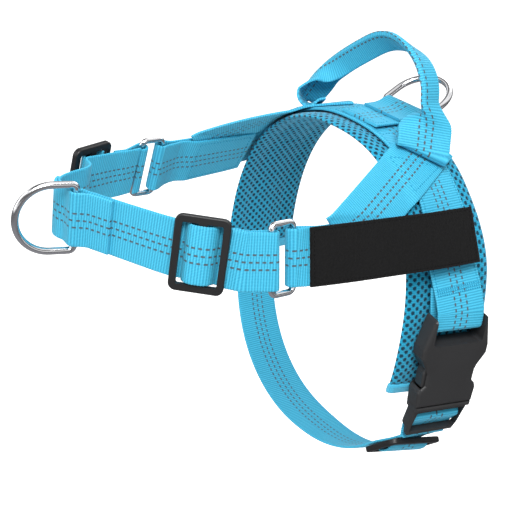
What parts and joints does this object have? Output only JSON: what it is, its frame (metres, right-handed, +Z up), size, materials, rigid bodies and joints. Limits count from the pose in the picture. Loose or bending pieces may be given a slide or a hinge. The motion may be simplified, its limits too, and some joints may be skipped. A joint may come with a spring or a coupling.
{
  "type": "no pull dog harness",
  "caption": "Adjustable dog harness: padded girth loop with handle, quick-release buckle, and a chest strap on link rings with front and back lead rings.",
  "frame": {"origin": "middle of the girth loop, where the dog's chest sits", "axes": "+X towards the dog's tail along its body, -Y to the dog's left (buckle side), +Z up to the spine"},
  "size_m": [0.3345, 0.2464, 0.333],
  "materials": {
    "webbing": "woven nylon webbing, sky blue with dark dashed centre rows",
    "pad_mesh": "spacer mesh over foam, sky blue",
    "binding": "folded webbing hem, sky blue",
    "loop_panel": "black loop pile",
    "ring_steel": "bright nickel-plated wire",
    "buckle_plastic": "charcoal moulded plastic",
    "glide_plastic": "charcoal moulded plastic"
  },
  "bodies": {
    "harness": {"girth_webbing": "webbing", "girth_pad": "pad_mesh", "pad_binding_left": "binding", "pad_binding_right": "binding", "left_side_strap": "webbing", "right_side_strap": "webbing", "left_patch": "loop_panel", "right_patch": "loop_panel", "left_shoulder_strap": "webbing", "right_shoulder_strap": "webbing", "left_handle_end": "webbing", "right_handle_end": "webbing", "back_ring_tab": "webbing", "buckle_socket": "buckle_plastic"},
    "left_link": {"left_link_ring": "ring_steel"},
    "right_link": {"right_link_ring": "ring_steel"},
    "chest": {"chest_strap": "webbing", "left_chest_loop": "webbing", "right_chest_loop": "webbing", "front_ring_tab": "webbing"},
    "front_ring": {"front_lead_ring": "ring_steel"},
    "back_ring": {"back_lead_ring": "ring_steel"},
    "handle": {"handle_grip": "webbing"},
    "left_slide": {"left_adjuster": "glide_plastic", "left_adjuster_wrap": "webbing"},
    "right_slide": {"right_adjuster": "glide_plastic", "right_adjuster_wrap": "webbing"},
    "belly": {"belly_strap": "webbing", "buckle_plug": "buckle_plastic"},
    "arm_front": {"buckle_arm_front": "buckle_plastic"},
    "arm_rear": {"buckle_arm_rear": "buckle_plastic"},
    "belly_slide": {"belly_adjuster": "glide_plastic", "belly_adjuster_wrap": "webbing"}
  },
  "joints": [
    {"name": "left_link_swing", "type": "hinge", "parent": "harness", "child": "left_link", "pos_m": [-0.1274, -0.082, 0.0805], "axis": [0, 0, 1], "range_deg": [-5.4, 5.4]},
    {"name": "right_link_swing", "type": "hinge", "parent": "harness", "child": "right_link", "pos_m": [-0.1274, 0.082, 0.0805], "axis": [0, 0, 1], "range_deg": [-5.4, 5.4]},
    {"name": "chest_sway", "type": "hinge", "parent": "left_link", "child": "chest", "pos_m": [-0.1446, -0.082, 0.0805], "axis": [0, 0, 1], "range_deg": [-5.4, 5.4]},
    {"name": "front_ring_swing", "type": "hinge", "parent": "chest", "child": "front_ring", "pos_m": [-0.23211, 0.01161, 0.08443], "axis": [0, 0, 1], "range_deg": [-60, 65]},
    {"name": "back_ring_flip", "type": "hinge", "parent": "harness", "child": "back_ring", "pos_m": [0.028, -0.005, 0.1394], "axis": [0, 1, 0], "range_deg": [-45, 12]},
    {"name": "handle_flop", "type": "hinge", "parent": "harness", "child": "handle", "pos_m": [-0.005, 0, 0.127], "axis": [0, 1, 0], "range_deg": [-15, 12]},
    {"name": "left_adjuster_slide", "type": "slide", "parent": "chest", "child": "left_slide", "axis": [-0.7505, 0.6609, 0], "range_m": [-0.004, 0.018]},
    {"name": "right_adjuster_slide", "type": "slide", "parent": "chest", "child": "right_slide", "axis": [0.9516, 0.3074, 0], "range_m": [-0.01, 0.0005]},
    {"name": "buckle_release", "type": "slide", "parent": "harness", "child": "belly", "axis": [0, 0, -1], "range_m": [0, 0.045]},
    {"name": "arm_rear_squeeze", "type": "hinge", "parent": "belly", "child": "arm_rear", "pos_m": [0.01624, -0.12165, -0.0346], "axis": [-0.2079, -0.9781, 0], "range_deg": [0, 6]},
    {"name": "arm_front_squeeze", "type": "hinge", "parent": "belly", "child": "arm_front", "pos_m": [-0.01624, -0.11475, -0.0346], "axis": [-0.2079, -0.9781, 0], "range_deg": [-6, 0]},
    {"name": "belly_adjuster_slide", "type": "slide", "parent": "belly", "child": "belly_slide", "axis": [-0.06, 0.7309, -0.6799], "range_m": [-0.003, 0.015]}
  ],
  "couplings": [
    {"joint": "right_link_swing", "follows": "left_link_swing", "ratio": 1},
    {"joint": "chest_sway", "follows": "left_link_swing", "ratio": -1},
    {"joint": "arm_front_squeeze", "follows": "arm_rear_squeeze", "ratio": -1}
  ]
}
